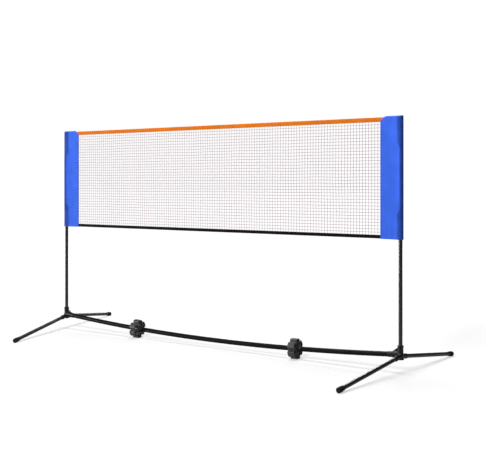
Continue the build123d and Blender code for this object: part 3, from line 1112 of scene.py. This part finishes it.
def net_point(column, line):
    """One knot: on the square grid, moved a little, and less so at the sewn edges."""
    across, up = column / columns, line / lines
    x = net_low[0] - tuck + (net_high[0] - net_low[0] + 2 * tuck) * across
    z = net_low[2] - tuck + (net_high[2] - net_low[2] + 2 * tuck) * up
    free = min(1.0, 6 * up * (1 - up)) * min(1.0, 14 * across * (1 - across))
    drift = noise.noise_vector(Vector((x * 5, 0.4, z * 5))) * drift_size
    jitter = noise.noise_vector(Vector((x * 61, 7.7, z * 61))) * jitter_size
    billow = billow_depth * math.sin(math.pi * up) * noise.noise(Vector((x * 1.3, 3.3, z * 1.5)))
    move = (drift + jitter) * free
    return Vector((x + move.x, billow * free + move.y * 0.3, z + move.z))


# Vector noise takes its offsets from the clock unless its seed is set.
noise.seed_set(net_seed)
knots = [[net_point(c, r) for c in range(columns + 1)] for r in range(lines + 1)]


def twine(points, lie):
    """Ring positions of one square-section strand through its knots, offset to its side."""
    rings = []
    for k, p in enumerate(points):
        before, after = points[max(k - 1, 0)], points[min(k + 1, len(points) - 1)]
        along = (after - before).normalized()
        flat = along.cross(Vector((0, 1, 0))).normalized()
        deep = along.cross(flat)
        centre = p + Vector((0, lie, 0))
        rings.append([centre + flat * twine_round, centre + deep * twine_round,
                      centre - flat * twine_round, centre - deep * twine_round])
    return rings


points = []
faces = []
half_lap = 0.8 * twine_round
strands = [(row, half_lap) for row in knots]
strands += [([knots[r][c] for r in range(lines + 1)], -half_lap) for c in range(columns + 1)]
for line_points, lie in strands:
    rings = twine(line_points, lie)
    first = len(points)
    points += [corner for ring in rings for corner in ring]
    for k in range(len(rings) - 1):
        low, high = first + 4 * k, first + 4 * (k + 1)
        for i in range(4):
            faces.append((low + i, low + (i + 1) % 4, high + (i + 1) % 4, high + i))
    last = first + 4 * (len(rings) - 1)
    faces.append((first + 3, first + 2, first + 1, first))
    faces.append((last, last + 1, last + 2, last + 3))
for row in knots:
    for p in row:
        first = len(points)
        points += [p + Vector(d) * knot_round for d in
                   ((1, 0, 0), (0, 0, 1), (-1, 0, 0), (0, 0, -1), (0, 1, 0), (0, -1, 0))]
        for i in range(4):
            faces.append((first + i, first + (i + 1) % 4, first + 4))
            faces.append((first + (i + 1) % 4, first + i, first + 5))
mesh = bpy.data.meshes.new("knotted_netting")
mesh.from_pydata(points, [], faces)
mesh.shade_smooth()
netting = new_piece("knotted_netting", mesh)
face_outwards(netting)
netting.data.materials.append(twine_finish("brown_twine", (0.15, 0.022, 0.055)))
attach(netting, "net")
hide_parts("netting")

# ----------------------------------------
# Edge tapes: thick woven webbing sewn along the netting's top and bottom edges with two
# rows of stitches. The top tape is orange, the bottom one narrower and black.


stitch_line = 0.36
stitch_dent = 0.0022
wave_depth = 0.0009


def tape_wave(x, width):
    """How far a tape wanders from a flat plane."""
    return noise.noise(Vector((x * 3, 1.7, width * 50))) * wave_depth


def webbing_tape(name, node, run_in, steps):
    """A flat strip of thick webbing, drawn in a little along its stitches."""
    low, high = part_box(node)
    width = high[2] - low[2]
    half = (high[1] - low[1]) / 2
    middle = (high[2] + low[2]) / 2
    section = []
    around = 28
    for k in range(around):
        angle = 2 * math.pi * k / around
        c, s = math.cos(angle), math.sin(angle)
        flat = math.copysign(abs(c) ** 0.35, c)
        deep = math.copysign(abs(s) ** 0.8, s)
        section.append((flat * width / 2, deep * half))
    rows = []
    first, last = low[0] - run_in, high[0] + run_in
    for j in range(steps + 1):
        x = first + (last - first) * j / steps
        wave = tape_wave(x, width)
        ripple = noise.noise(Vector((x * 38, 5.1, width * 70)))
        row = []
        for up, out in section:
            seam = math.exp(-((abs(up) - width * stitch_line) / stitch_dent) ** 2)
            pucker = (1 - 0.22 * seam) * (1 + 0.12 * ripple * (1 - seam))
            row.append(Vector((x, out * pucker + wave, middle + up + 0.25 * wave)))
        rows.append(row)
    piece = cloth_tube(name, rows, False)
    only(piece)
    bpy.ops.object.mode_set(mode="EDIT")
    bpy.ops.mesh.select_all(action="DESELECT")
    bpy.ops.mesh.select_non_manifold()
    bpy.ops.mesh.fill_holes(sides=0)
    bpy.ops.object.mode_set(mode="OBJECT")
    face_outwards(piece)
    return piece, rows


def tape_sewing(name, rows, width, half):
    """Two rows of stitches on each face of a tape."""
    stitched = []
    for face in (-1, 1):
        for edge in (-1, 1):
            line = []
            for row in rows[::2]:
                x = row[0].x
                middle = sum(p.z for p in row) / len(row)
                out = face * half * 0.86 + tape_wave(x, width)
                line.append(Vector((x, out, middle + edge * width * stitch_line)))
            stitched.append((line, Vector((0, face, 0))))
    return sewing(name, stitched, stitch=0.0032, gap=0.0012, thick=thread_round)


orange_webbing = woven_cloth(
    "orange_webbing", (0.57, 0.135, 0.004), thread=0.0011, sheen=0.03, slack=0.4
)
black_webbing = woven_cloth(
    "black_webbing", (0.0025, 0.002, 0.0023), thread=0.0011, sheen=0.0, slack=0.4
)
orange_thread = twine_finish("orange_thread", (0.75, 0.25, 0.03))
black_thread = twine_finish("black_thread", (0.012, 0.011, 0.012))
tapes = (
    ("top_tape", orange_webbing, orange_thread, 0.040, "orange_tape"),
    ("bottom_tape", black_webbing, black_thread, 0.020, "black_tape"),
)
for node, webbing, thread, run_in, slot in tapes:
    low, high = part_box(node)
    tape, rows = webbing_tape(f"{node}_webbing", node, run_in, steps=520)
    tape.data.materials.append(webbing)
    width = high[2] - low[2]
    stitches = tape_sewing(f"{node}_stitching", rows, width, (high[1] - low[1]) / 2)
    stitches.data.materials.append(thread)
    for piece in (tape, stitches):
        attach(piece, "net")
    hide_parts(node)
